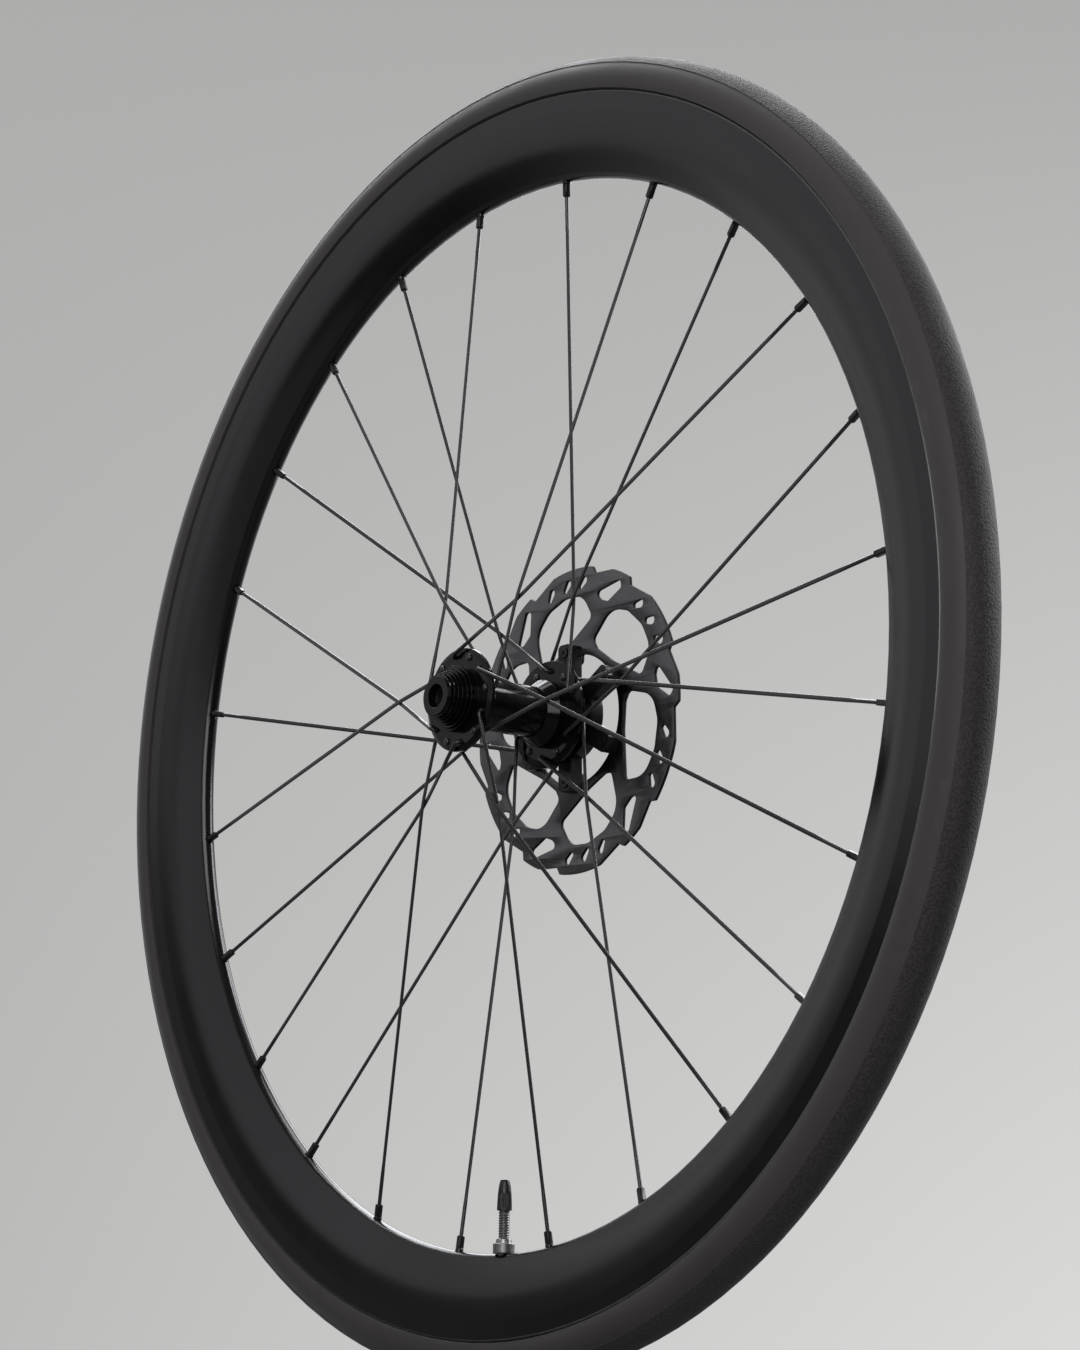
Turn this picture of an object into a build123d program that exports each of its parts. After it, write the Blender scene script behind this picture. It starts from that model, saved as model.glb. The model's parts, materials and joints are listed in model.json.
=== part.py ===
from build123d import *
import os
from math import asin, cos, hypot, pi, radians, sin, sqrt

# Front disc-brake road bicycle wheel with its tyre, valve and brake rotor.
# Sizes are in millimetres. The wheel turns about Y, +Z is up and the origin is the wheel's centre.
# The brake rotor is on the +Y side. Angles run clockwise from the top, seen from the other (-Y) side.

# Rim
bead_seat_diameter = 622.0
rim_hook_height = 5.5
rim_hook_wall = 3.0
rim_inner_width = 19.0
rim_depth = 43.0
rim_straight_wall = 9.0
rim_edge_chamfer = 0.7
rim_nose_radius = 5.0
rim_bed_thickness = 3.5
rim_wall = 1.4
rim_bridge_thickness = 2.0
rim_well_width = 10.0
rim_well_depth = 2.4
rim_well_slope = 1.6

# Tyre
tyre_width = 28.0
tyre_section_height = 25.2
tyre_tread_half_angle = 50.0
tyre_tread_step = 0.35
tyre_tread_thickness = 3.0
tyre_crown_half_angle = 24.0
tyre_wall = 1.5
tyre_liner_angles = (100.0, 62.0)
tyre_bead_width = 3.0
tyre_lip_gap = 0.5
tyre_lip_thickness = 0.45
tyre_bead_clearance = 0.05

# Hub shell
hub_width = 100.0
near_flange_inset = 16.0
disc_flange_inset = 27.0
near_flange_diameter = 52.6
disc_flange_diameter = 55.6
flange_thickness = 3.2
flange_edge_taper = 0.9
spoke_circle_diameter = 44.0
barrel_diameter = 26.4
barrel_flare = 5.0
near_neck_diameter = 31.0
disc_neck_diameter = 34.5
flange_neck_width = 5.0
near_shell_diameter = 33.0
disc_boss_diameter = 38.4
shell_bore_diameter = 22.0

# Spokes and nipples
spokes_per_flange = 12
lacing_angle = 60.0
spoke_diameter = 2.0
blade_width = 2.2
blade_thickness = 0.95
blade_start = 14.0
blade_taper = 8.0
spoke_hole_clearance = 0.3
spoke_elbow_reach = 3.0
spoke_crossing_gap = 0.6
spoke_head_diameter = 3.8
spoke_head_height = 1.2
spoke_head_crown = 0.75
spoke_head_crown_diameter = 3.0
spoke_thread_clearance = 0.05
nipple_square = 3.1
nipple_reach = 7.8
nipple_head_diameter = 5.8
nipple_head_height = 2.2
nipple_head_sides = 8
nipple_hole_clearance = 0.1
seat_gap = 0.05

# Bearings, axle and end caps
thru_axle_bore = 12.1
axle_diameter = 15.0
axle_shoulder_height = 1.0
axle_socket_depth = 5.0
bearing_diameter = 28.0
bearing_width = 7.0
bearing_ring_thickness = 2.1
bearing_seal_thickness = 0.9
bearing_seal_recess = 0.3
bearing_seal_lip_gap = 0.05
bearing_seat_gap = 0.01
near_bearing_inset = 10.0
end_cap_nose_diameter = 20.0
end_cap_nose_length = 0.8
end_cap_collar_diameter = 27.6
end_cap_ridges = 4
end_cap_groove_width = 0.6
end_cap_groove_depth = 0.8
disc_cap_cone_length = 1.2
dust_lip_diameter = 30.6
dust_lip_thickness = 1.2
dust_lip_gap = 0.5

# Brake rotor, its carrier and lock ring
rotor_diameter = 160.0
rotor_thickness = 1.8
rotor_inset = 8.2
rotor_inner_diameter = 68.0
rotor_inner_ring_width = 5.0
rotor_track_width = 14.8
rotor_arms = 6
rotor_tab_width = 10.0
rotor_tab_margin = 5.6
rotor_tab_round = 2.6
rotor_notch_depth = 3.5
rotor_notch_fall = 2.0
rotor_short_notch_angle = 10.3
rotor_short_notch_rise = 10.5
rotor_long_notch_angle = 33.0
rotor_long_notch_rise = 12.5
rotor_slot_angles = (42.3, 52.9, 63.1)
rotor_slot_depth = 8.3
rotor_slot_length = 7.6
rotor_slot_wide = 5.0
rotor_slot_narrow = 2.8
rotor_slot_lean = 43.0
rotor_slot_round = 1.3
# Window corners and roundings are shares of the window's depth: angle and height above the inner ring, or angle and
# depth below the track.
rotor_window_inner_round = 0.122
rotor_window_outer_round = 0.458
rotor_window_inner_corners = ((17.0, 0.122), (23.5, -0.015), (45.0, -0.008), (72.8, 0.565))
rotor_window_outer_corners = ((63.4, 0.0), (50.5, -0.042), (38.0, 0.011), (25.4, 0.183))
rotor_small_window_round = 2.0
rotor_small_window_corners = ((11.8, 13.8), (16.5, 16.8), (22.5, 16.6), (28.6, 6.8), (26.0, 3.5))
carrier_depth = 7.5
carrier_ring_width = 4.6
carrier_arm_width = 10.0
carrier_arm_radius = 38.5
carrier_phase = -1.5
carrier_fillet = 2.5
rivet_circle_radius = 34.0
rivet_diameter = 4.0
rivet_head_diameter = 5.6
rivet_head_height = 0.7
rivet_dimple_diameter = 2.0
rivet_hole_clearance = 0.05
spline_diameter = 34.6
spline_depth = 0.8
spline_teeth = 18
spline_slot_width = 2.8
spline_clearance = 0.06
spline_wall = 1.2
spline_end_gap = 0.6
lock_ring_diameter = 40.0
lock_ring_thickness = 2.2
lock_ring_chamfer = 0.7
lock_ring_sleeve_length = 4.5
lock_ring_sleeve_wall = 2.6
lock_ring_thread_clearance = 0.05
lock_ring_notches = 12
lock_ring_notch_width = 2.6
lock_ring_notch_depth = 1.1
lock_ring_notch_length = 3.3

# Valve
valve_angle = 180.0
valve_stem_diameter = 6.0
valve_stem_wall = 1.0
valve_hole_clearance = 0.25
valve_exposed_length = 36.5
valve_cap_diameter = 7.5
valve_cap_tip_diameter = 5.4
valve_cap_length = 15.3
valve_cap_wall = 0.8
valve_cap_roof = 1.6
valve_cap_chamfer = 0.8
valve_cap_overlap = 3.0
valve_foot_diameter = 8.4
valve_foot_thickness = 1.1
valve_grommet_thickness = 1.8
valve_fit_gap = 0.03
valve_nut_diameter = 10.8
valve_nut_height = 4.9
valve_nut_chamfer = 0.6
valve_nut_collar_diameter = 8.2
valve_nut_collar_height = 2.3
valve_nut_collar_taper = 0.3
valve_core_collar_diameter = 4.6
valve_core_collar_height = 2.2
valve_core_neck_diameter = 3.2
valve_core_nut_diameter = 4.2
valve_core_nut_height = 2.4
valve_core_pin_diameter = 1.8
valve_core_pin_length = 1.8
valve_core_length = 8.0
valve_core_depth = 12.0

# Radii and places that follow from the sizes above
bead_radius = bead_seat_diameter / 2
hook_radius = bead_radius + rim_hook_height
bed_radius = hook_radius - rim_depth
bed_inside_radius = bed_radius + rim_bed_thickness
well_radius = bead_radius - rim_well_depth
rim_half = rim_inner_width / 2 + rim_hook_wall
bore_radius = thru_axle_bore / 2
axle_radius = axle_diameter / 2
bearing_radius = bearing_diameter / 2
end_face = hub_width / 2
near_flange_offset = end_face - near_flange_inset
disc_flange_offset = end_face - disc_flange_inset
rotor_track_offset = end_face - rotor_inset
rotor_inside = rotor_track_offset - rotor_thickness / 2
rotor_outside = rotor_track_offset + rotor_thickness / 2
carrier_inside = rotor_inside - carrier_depth
shell_disc_end = rotor_inside - spline_end_gap
lock_thread_radius = spline_diameter / 2 - spline_depth - spline_wall
disc_bearing_outside = shell_disc_end - lock_ring_sleeve_length - seat_gap
disc_bearing_inside = disc_bearing_outside - bearing_width
near_bearing_outside = end_face - near_bearing_inset
near_bearing_inside = near_bearing_outside - bearing_width
spoke_circle_radius = spoke_circle_diameter / 2
spoke_count = 2 * spokes_per_flange
# A hexagon of the same area as the round spoke stands for its section.
hexagon_radius = sqrt(2 * pi / (3 * sqrt(3))) * spoke_diameter / 2


def in_wheel(radius, angle):
    """Place in the wheel's plane, as (x, z), at a radius and a clockwise angle from the top."""
    return radius * sin(radians(angle)), radius * cos(radians(angle))


def turned(points):
    """Solid of revolution about the axle from (radius, y) points."""
    return revolve(make_face(Polyline(*points, close=True)), Axis.Y, 360)


def round_ring(inner, outer, low, high):
    """Plain ring about the axle between two radii and two places along Y."""
    return turned([(inner, low), (outer, low), (outer, high), (inner, high)])


def wheel_plane(y):
    """Plane at y whose local axes are X and Z, and whose normal points to -Y."""
    return Plane(origin=(0, y, 0), x_dir=(1, 0, 0), z_dir=(0, -1, 0))


def plate(sketch, low, high):
    """Flat piece from low to high along Y, from a sketch drawn in X and Z."""
    return extrude(wheel_plane(high) * sketch, high - low)


# Rim

side_top = hook_radius - rim_straight_wall
nose_middle = bed_radius + rim_nose_radius
side_drop = side_top - nose_middle
side_arc_radius = (side_drop**2 + rim_half**2 - rim_nose_radius**2) / (2 * (rim_half - rim_nose_radius))
# The sides' arcs run into the nose here, as (radius, half width).
nose_reach = rim_nose_radius / (side_arc_radius - rim_nose_radius)
nose_end = (nose_middle - side_drop * nose_reach, (side_arc_radius - rim_half) * nose_reach)


def rim_half_width(radius):
    """Half the rim's outer width at a radius: a round nose, then an arc that runs into the straight wall."""
    if radius < nose_end[0]:
        return sqrt(rim_nose_radius**2 - (nose_middle - radius) ** 2)
    below = max(side_top - radius, 0)
    return rim_half - side_arc_radius + sqrt(side_arc_radius**2 - below**2)


def rim_section():
    """Outer section: round nose, curved sides, straight hook walls, bead seats and centre well."""
    inner_half = rim_inner_width / 2
    well_half = rim_well_width / 2
    nose_radius, nose_half = nose_end
    side_mid = (nose_radius + side_top) / 2
    outline = []
    for side in (1, -1):
        tub = Polyline(
            (well_radius, 0),
            (well_radius, side * well_half),
            (bead_radius, side * (well_half + rim_well_slope)),
            (bead_radius, side * inner_half),
            (hook_radius, side * inner_half),
            (hook_radius, side * (rim_half - rim_edge_chamfer)),
            (hook_radius - rim_edge_chamfer, side * rim_half),
            (side_top, side * rim_half),
        )
        flank = ThreePointArc(
            (side_top, side * rim_half),
            (side_mid, side * rim_half_width(side_mid)),
            (nose_radius, side * nose_half),
        )
        outline += [tub, flank]
    outline.append(ThreePointArc((nose_radius, -nose_half), (bed_radius, 0), (nose_radius, nose_half)))
    return make_face(Curve() + outline)


def rim_hollow():
    """Closed cavity between the spoke bed and the tyre bridge."""
    top = well_radius - rim_bridge_thickness
    stations = (bed_inside_radius, (bed_inside_radius + top) / 2, top)
    half = [(radius, rim_half_width(radius) - rim_wall) for radius in stations]
    return turned(half + [(radius, -y) for radius, y in reversed(half)])


# Tyre


def tyre_section():
    """Casing section with a raised tread band, side walls and two beads seated in the rim."""
    casing = tyre_width / 2
    tread = casing + tyre_tread_step
    middle = bead_radius + tyre_section_height - tread
    edge = radians(tyre_tread_half_angle)
    bead_out = rim_inner_width / 2 - tyre_bead_clearance
    bead_in = bead_out - tyre_bead_width
    bead_foot = bead_radius + tyre_bead_clearance
    lip = hook_radius + tyre_lip_gap
    end_angle = radians(90) + asin((middle - lip - tyre_lip_thickness) / casing)
    side_angle = (edge + end_angle) / 2

    def on_tube(radius, angle, side):
        return middle + radius * cos(angle), side * radius * sin(angle)

    liner = casing - tyre_wall
    crown = tread - tyre_tread_thickness
    crown_half = crown * sin(radians(tyre_crown_half_angle))
    outline = [ThreePointArc(on_tube(tread, -edge, 1), (middle + tread, 0), on_tube(tread, edge, 1))]
    for side in (1, -1):
        wall = ThreePointArc(
            on_tube(casing, edge, side),
            on_tube(casing, side_angle, side),
            on_tube(casing, end_angle, side),
        )
        inside = Polyline(
            on_tube(casing, end_angle, side),
            (lip, side * bead_out),
            (bead_foot, side * bead_out),
            (bead_foot, side * bead_in),
            (lip - tyre_bead_width, side * bead_in),
            (lip + tyre_wall, side * (bead_out - tyre_lip_thickness)),
            *[on_tube(liner, radians(angle), side) for angle in tyre_liner_angles],
            (middle + crown, side * crown_half),
            (middle + crown, 0),
        )
        outline += [Line(on_tube(tread, edge, side), on_tube(casing, edge, side)), wall, inside]
    return make_face(Curve() + outline)


# Spokes, laced two-cross, and their nipples


class SpokeRoute:
    """One spoke's path: it lies in the plane through its hub hole and rim hole, parallel to Y."""

    def __init__(self, number):
        # Even numbers go to the flange away from the rotor, odd ones to the disc flange.
        # Spokes 0 and 3 of each four leave the outer faces, 1 and 2 the inner faces.
        pitch = 360 / (2 * spokes_per_flange)
        self.rim_angle = (number - 0.5) * pitch
        self.side = 1 if number % 2 else -1
        self.outward = number % 4 in (0, 3)
        self.hub_angle = self.rim_angle + (-lacing_angle if self.outward else lacing_angle)
        self.flange_y = disc_flange_offset if number % 2 else -near_flange_offset
        self.hub = in_wheel(spoke_circle_radius, self.hub_angle)
        rim = in_wheel(bed_radius, self.rim_angle)
        run = (rim[0] - self.hub[0], rim[1] - self.hub[1])
        self.length = hypot(*run)
        self.along = (run[0] / self.length, run[1] / self.length)
        # The stub through the flange points outwards on outer spokes and inwards on inner ones.
        self.stub = self.side if self.outward else -self.side
        self.face_y = self.flange_y + self.stub * flange_thickness / 2
        self.corner = (0.0, self.face_y + self.stub * spoke_elbow_reach)
        self.rim_point = (self.length, 0.0)
        self.crossing = self.crossing_point(pitch)

    def crossing_point(self, pitch):
        """Outermost crossing with a spoke of the other family, where the two are woven past each other."""
        wrap = radians(lacing_angle)
        turn = radians(lacing_angle - pitch)
        spread = spoke_circle_radius * sin(turn) + bed_radius * sin(wrap - turn)
        radius = spoke_circle_radius * bed_radius * sin(wrap) / spread
        step = radius * sin(turn) / (bed_radius * sin(wrap)) * self.length
        middle = self.flange_y * (1 - step / self.length)
        # The outer spoke dips inside the inner one.
        lean = -self.side if self.outward else self.side
        return step, middle + lean * (blade_thickness + spoke_crossing_gap) / 2

    def place(self, point):
        """Point in space from (distance along the run, y)."""
        along, y = point
        return Vector(self.hub[0] + along * self.along[0], y, self.hub[1] + along * self.along[1])

    def direction(self, tangent):
        return Vector(tangent[0] * self.along[0], tangent[1], tangent[0] * self.along[1])

    def across(self):
        """Unit vector across the blade, the same along the whole spoke."""
        return Vector(self.along[1], 0, -self.along[0])

    def rim_direction(self):
        """Unit tangent of the last run, from the crossing to the rim hole, as (along, y)."""
        return unit(self.crossing, self.rim_point)

    def nipple_plane(self):
        """Plane at the rim hole with Z along the spoke, towards the tyre."""
        axis = self.direction(self.rim_direction())
        return Plane(origin=self.place(self.rim_point), x_dir=self.across(), z_dir=axis)


def unit(start, end):
    run = (end[0] - start[0], end[1] - start[1])
    size = hypot(*run)
    return run[0] / size, run[1] / size


def step_from(point, tangent, distance):
    return point[0] + tangent[0] * distance, point[1] + tangent[1] * distance


def round_sizes(diameter):
    """Half width and half thickness of the hexagon that stands for a round of this diameter."""
    radius = hexagon_radius * diameter / spoke_diameter
    return radius, radius * sqrt(3) / 2


def six_sided(route, point, tangent, sizes):
    """Six-sided section square to the path: flats face across the wheel, corners lie in its plane."""
    across = route.across() * sizes[0]
    normal = route.direction((-tangent[1], tangent[0])) * sizes[1]
    middle = route.place(point)
    corners = []
    for w, n in ((1, 0), (0.5, 1), (-0.5, 1), (-1, 0), (-0.5, -1), (0.5, -1)):
        corners.append(middle + across * w + normal * n)
    return Wire.make_polygon(corners, close=True)


spoke_lean = hypot(spoke_circle_radius * sin(radians(lacing_angle)), near_flange_offset)
nipple_tilt = spoke_lean / (bed_radius - spoke_circle_radius)
nipple_hole_radius = nipple_square / sqrt(2) + nipple_hole_clearance
nipple_head_foot = rim_bed_thickness + nipple_tilt * nipple_head_diameter / 2 + seat_gap
nipple_head_top = nipple_head_foot + nipple_head_height


def spoke(number):
    """Butted, bladed spoke with a mushroom head, a J-bend, a bend where it is woven and a round end."""
    route = SpokeRoute(number)
    stub = (0.0, float(route.stub))
    first = unit(route.corner, route.crossing)
    last = route.rim_direction()
    middle = unit((0, 0), (first[0] + last[0], first[1] + last[1]))
    bend = unit((0, 0), (first[0] + stub[0], first[1] + stub[1]))
    back_face = route.flange_y - route.stub * flange_thickness / 2
    head_foot = (0.0, back_face - route.stub * seat_gap)
    head_shoulder = step_from(head_foot, stub, spoke_head_crown - spoke_head_height)
    head_top = step_from(head_foot, stub, -spoke_head_height)
    # The bend's arc is tangent to stub and run; its middle lies on the corner's bisector.
    cosine = first[0] * stub[0] + first[1] * stub[1]
    half_sine = sqrt((1 - cosine) / 2)
    half_cosine = sqrt((1 + cosine) / 2)
    arc_radius = spoke_elbow_reach * half_cosine / half_sine
    bend_middle = step_from(route.corner, unit(stub, first), arc_radius * (1 / half_cosine - 1))
    far_end = step_from(route.rim_point, last, nipple_head_top - nipple_head_height / 2)
    blade_end = step_from(route.rim_point, last, -nipple_reach - blade_start)
    flat = round_sizes(spoke_head_crown_diameter)
    head = round_sizes(spoke_head_diameter)
    shank = round_sizes(spoke_diameter)
    blade = (blade_width / 2, blade_thickness / 2)
    stations = [
        (head_top, stub, flat),
        (head_shoulder, stub, head),
        (head_foot, stub, shank),
        (step_from(route.corner, stub, -spoke_elbow_reach), stub, shank),
        (bend_middle, bend, shank),
        (step_from(route.corner, first, spoke_elbow_reach), first, shank),
        (step_from(route.corner, first, blade_start), first, shank),
        (step_from(route.corner, first, blade_start + blade_taper), first, blade),
        (route.crossing, middle, blade),
        (step_from(blade_end, last, -blade_taper), last, blade),
        (blade_end, last, shank),
        (far_end, last, shank),
    ]
    return Solid.make_loft([six_sided(route, *station) for station in stations], ruled=True)


def nipple():
    """Nipple at the origin: a square drive outside the rim and a faceted head seated on the spoke bed."""
    square = Pos(0, 0, -nipple_reach) * extrude(
        Rectangle(nipple_square, nipple_square), nipple_reach + nipple_head_foot
    )
    head = Pos(0, 0, nipple_head_foot) * extrude(
        RegularPolygon(nipple_head_diameter / 2, nipple_head_sides), nipple_head_height
    )
    bore = RegularPolygon(hexagon_radius + spoke_thread_clearance, 6)
    return square + head - Pos(0, 0, -nipple_reach) * extrude(bore, nipple_reach + nipple_head_top)


def at_nipples(piece):
    """Copies of a piece, one at each rim hole, turned along its spoke."""
    return [SpokeRoute(number).nipple_plane() * piece for number in range(spoke_count)]


def rim():
    """Hollow rim with its nipple holes and the valve hole."""
    body = revolve(rim_section(), Axis.Y, 360) - rim_hollow()
    nipple_hole = Cylinder(nipple_hole_radius, rim_bed_thickness + 2 * nipple_head_diameter)
    valve_hole = Cylinder(valve_stem_diameter / 2 + valve_hole_clearance, 3 * rim_depth)
    return body - at_nipples(nipple_hole) - Rot(0, valve_angle, 0) * Pos(0, 0, bed_radius) * valve_hole


# Hub


def hub_shell():
    """Shell with two drilled flanges, bearing seats, a flared barrel and the splined rotor seat."""
    half = flange_thickness / 2
    near, disc = -near_flange_offset, disc_flange_offset
    near_edge, disc_edge = near_flange_diameter / 2, disc_flange_diameter / 2
    hole_edge = spoke_circle_radius + spoke_diameter
    barrel = barrel_diameter / 2
    near_shell, boss = near_shell_diameter / 2, disc_boss_diameter / 2
    near_neck, disc_neck = near_neck_diameter / 2, disc_neck_diameter / 2
    spline = spline_diameter / 2
    seat = bearing_radius + bearing_seat_gap
    bore = shell_bore_diameter / 2
    shell = turned(
        [
            (seat, -near_bearing_outside),
            (near_shell, -near_bearing_outside),
            (near_shell, near - half),
            (hole_edge, near - half),
            (near_edge, near - half + flange_edge_taper),
            (near_edge, near + half - flange_edge_taper / 2),
            (hole_edge, near + half),
            (near_neck, near + half),
            (near_neck, near + half + flange_neck_width),
            (barrel, near + half + flange_neck_width + barrel_flare),
            (barrel, disc - half - flange_neck_width - barrel_flare),
            (disc_neck, disc - half - flange_neck_width),
            (disc_neck, disc - half),
            (hole_edge, disc - half),
            (disc_edge, disc - half + flange_edge_taper / 2),
            (disc_edge, disc + half - flange_edge_taper),
            (hole_edge, disc + half),
            (boss, disc + half),
            (boss, carrier_inside),
            (spline, carrier_inside),
            (spline, shell_disc_end),
            (lock_thread_radius, shell_disc_end),
            (lock_thread_radius, disc_bearing_outside),
            (seat, disc_bearing_outside),
            (seat, disc_bearing_inside),
            (bore, disc_bearing_inside),
            (bore, -near_bearing_inside),
            (seat, -near_bearing_inside),
        ]
    )
    return shell - spoke_holes() - spline_slots()


def spoke_holes():
    """Drill bodies for the spoke holes of both flanges."""
    drill = Rot(90, 0, 0) * Cylinder(hexagon_radius + spoke_hole_clearance, 2 * flange_thickness)
    routes = [SpokeRoute(number) for number in range(spoke_count)]
    return [Pos(*route.place((0, route.flange_y))) * drill for route in routes]


def round_spline(bar, y, radius):
    """Copies of a bar round the spline, centred at y and a radius."""
    pitch = 360 / spline_teeth
    return [Rot(0, tooth * pitch, 0) * Pos(0, y, radius) * bar for tooth in range(spline_teeth)]


def spline_slots():
    """Bars that cut the hub's spline slots."""
    length = shell_disc_end - carrier_inside
    bar = Box(spline_slot_width, length, 2 * spline_depth)
    return round_spline(bar, carrier_inside + length / 2, spline_diameter / 2)


def bearing_outer_ring(low):
    inner = bearing_radius - bearing_ring_thickness
    return round_ring(inner, bearing_radius, low, low + bearing_width)


def bearing_inner_ring(low):
    outer = axle_radius + bearing_seat_gap + bearing_ring_thickness
    return round_ring(axle_radius + bearing_seat_gap, outer, low, low + bearing_width)


def bearing_seals(low):
    """Two flat seals held by the outer ring, their lips close to the inner ring."""
    inner = axle_radius + bearing_seat_gap + bearing_ring_thickness + bearing_seal_lip_gap
    outer = bearing_radius - bearing_ring_thickness
    first = low + bearing_seal_recess
    second = low + bearing_width - bearing_seal_recess - bearing_seal_thickness
    seals = [round_ring(inner, outer, y, y + bearing_seal_thickness) for y in (first, second)]
    return Compound(children=seals)


def axle():
    """Axle tube: bearing seats at both ends of a thicker middle, and ends that plug into the caps."""
    shoulder = axle_radius + axle_shoulder_height
    near_end = -end_face + axle_socket_depth
    disc_end = end_face - axle_socket_depth
    return turned(
        [
            (bore_radius, near_end),
            (axle_radius, near_end),
            (axle_radius, -near_bearing_inside),
            (shoulder, -near_bearing_inside),
            (shoulder, disc_bearing_inside),
            (axle_radius, disc_bearing_inside),
            (axle_radius, disc_end),
            (bore_radius, disc_end),
        ]
    )


def near_end_cap():
    """Stepped, grooved cap that clamps the near bearing and stands against the fork end."""
    socket = axle_radius + bearing_seat_gap
    spacer = axle_radius + bearing_ring_thickness
    nose, collar = end_cap_nose_diameter / 2, end_cap_collar_diameter / 2
    lip = dust_lip_diameter / 2
    lip_in = -near_bearing_outside - dust_lip_gap
    lip_out = lip_in - dust_lip_thickness
    pitch = (end_face + lip_out - end_cap_nose_length) / end_cap_ridges
    ridges = []
    for ridge in range(end_cap_ridges):
        radius = collar + (nose - collar) * ridge / end_cap_ridges
        low = lip_out - ridge * pitch
        groove = radius - end_cap_groove_depth
        ridges += [(groove, low), (groove, low - end_cap_groove_width)]
        ridges += [(radius, low - end_cap_groove_width), (radius, low - pitch)]
    return turned(
        [
            (socket, -near_bearing_outside),
            (spacer, -near_bearing_outside),
            (spacer, lip_in),
            (lip, lip_in),
            (lip, lip_out),
            *ridges,
            (nose, -end_face + end_cap_nose_length),
            (nose, -end_face),
            (bore_radius, -end_face),
            (bore_radius, -end_face + axle_socket_depth),
            (socket, -end_face + axle_socket_depth),
        ]
    )


def disc_end_cap():
    """Cap on the rotor side, slim enough to pass through the lock ring."""
    socket = axle_radius + bearing_seat_gap
    spacer = axle_radius + bearing_ring_thickness
    nose = end_cap_nose_diameter / 2
    return turned(
        [
            (socket, disc_bearing_outside),
            (spacer, disc_bearing_outside),
            (spacer, disc_bearing_outside + disc_cap_cone_length),
            (nose, disc_bearing_outside + 2 * disc_cap_cone_length),
            (nose, end_face),
            (bore_radius, end_face),
            (bore_radius, end_face - axle_socket_depth),
            (socket, end_face - axle_socket_depth),
        ]
    )


# Brake rotor


def polar_polygon(corners):
    """Flat face from (angle, radius) corners."""
    return make_face(Polyline(*[in_wheel(radius, angle) for angle, radius in corners], close=True))


def rounded(sketch, radius):
    return fillet(sketch.vertices(), radius)


def round_arms(sketch, phase=0.0):
    """Copies of a sketch, one at each arm of the rotor."""
    pitch = 360 / rotor_arms
    return [Rot(0, 0, -phase - arm * pitch) * sketch for arm in range(rotor_arms)]


def rotor_notch(angle, rise):
    """Saw-tooth notch in the rotor's edge, outlined past the edge: a steep fall, then a slow rise."""
    edge = rotor_diameter / 2
    start, end = angle - rotor_notch_fall, angle + rise
    low, high = edge - rotor_notch_depth, edge + rotor_notch_depth
    return polar_polygon([(start, edge), (angle, low), (end, edge), (end, high), (start, high)])


def rotor_slot(angle):
    """Slanted slot in the track, wider towards the edge."""
    wide, narrow, half = rotor_slot_wide / 2, rotor_slot_narrow / 2, rotor_slot_length / 2
    drop = make_face(Polyline((-wide, half), (wide, half), (narrow, -half), (-narrow, -half), close=True))
    drop = Rot(0, 0, -rotor_slot_lean) * rounded(drop, rotor_slot_round)
    return Rot(0, 0, -angle) * Pos(0, rotor_diameter / 2 - rotor_slot_depth) * drop


def rotor_sector():
    """All the openings and notches of one sixth of the rotor."""
    edge = rotor_diameter / 2
    track = edge - rotor_track_width
    ring = (rotor_inner_diameter + 2 * rotor_inner_ring_width) / 2
    room = track - ring
    corners = [(angle, ring + share * room) for angle, share in rotor_window_inner_corners]
    corners += [(angle, track - share * room) for angle, share in rotor_window_outer_corners]
    small = [(angle, edge - depth) for angle, depth in rotor_small_window_corners]
    window = polar_polygon(corners)
    inner = window.vertices().sort_by_distance((0, 0, 0))[: len(rotor_window_inner_corners)]
    window = fillet(inner, rotor_window_inner_round * room)
    outer = window.vertices().sort_by_distance((0, 0, 0))[-len(rotor_window_outer_corners):]
    openings = [fillet(outer, rotor_window_outer_round * room)]
    openings.append(rounded(polar_polygon(small), rotor_small_window_round))
    openings.append(rotor_notch(rotor_short_notch_angle, rotor_short_notch_rise))
    openings.append(rotor_notch(rotor_long_notch_angle, rotor_long_notch_rise))
    openings += [rotor_slot(angle) for angle in rotor_slot_angles]
    return openings


def rivet_hole():
    return Pos(0, rivet_circle_radius) * Circle(rivet_diameter / 2 + rivet_hole_clearance)


def rotor():
    """Steel brake track on slanted struts, cut from one plate, with tabs for the carrier's arms."""
    inner = rotor_inner_diameter / 2
    tab_foot = rivet_circle_radius - rotor_tab_margin
    depth = inner + rotor_inner_ring_width - tab_foot
    tab = Pos(0, tab_foot + depth / 2) * Rectangle(rotor_tab_width, depth)
    tab = rounded(tab, rotor_tab_round)
    sheet = Circle(rotor_diameter / 2) - Circle(inner)
    sheet = sheet + round_arms(tab, carrier_phase) - round_arms(rivet_hole(), carrier_phase)
    for opening in rotor_sector():
        sheet -= round_arms(opening)
    return plate(sheet, rotor_inside, rotor_outside)


def rotor_carrier():
    """Six-armed aluminium carrier on the hub's spline, which the rotor is riveted to."""
    bore = spline_diameter / 2 + spline_clearance
    ring = bore + carrier_ring_width
    arm_base = ring - carrier_fillet
    length = carrier_arm_radius - arm_base
    arm = Pos(0, arm_base + length / 2) * Rectangle(carrier_arm_width, length)
    arm = fillet(arm.vertices().sort_by(Axis.Y)[-2:], carrier_fillet)
    sheet = Circle(ring) + round_arms(arm, carrier_phase)
    sheet = sheet - Circle(bore) - round_arms(rivet_hole(), carrier_phase)
    return plate(sheet, carrier_inside, rotor_inside) + carrier_teeth()


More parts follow.
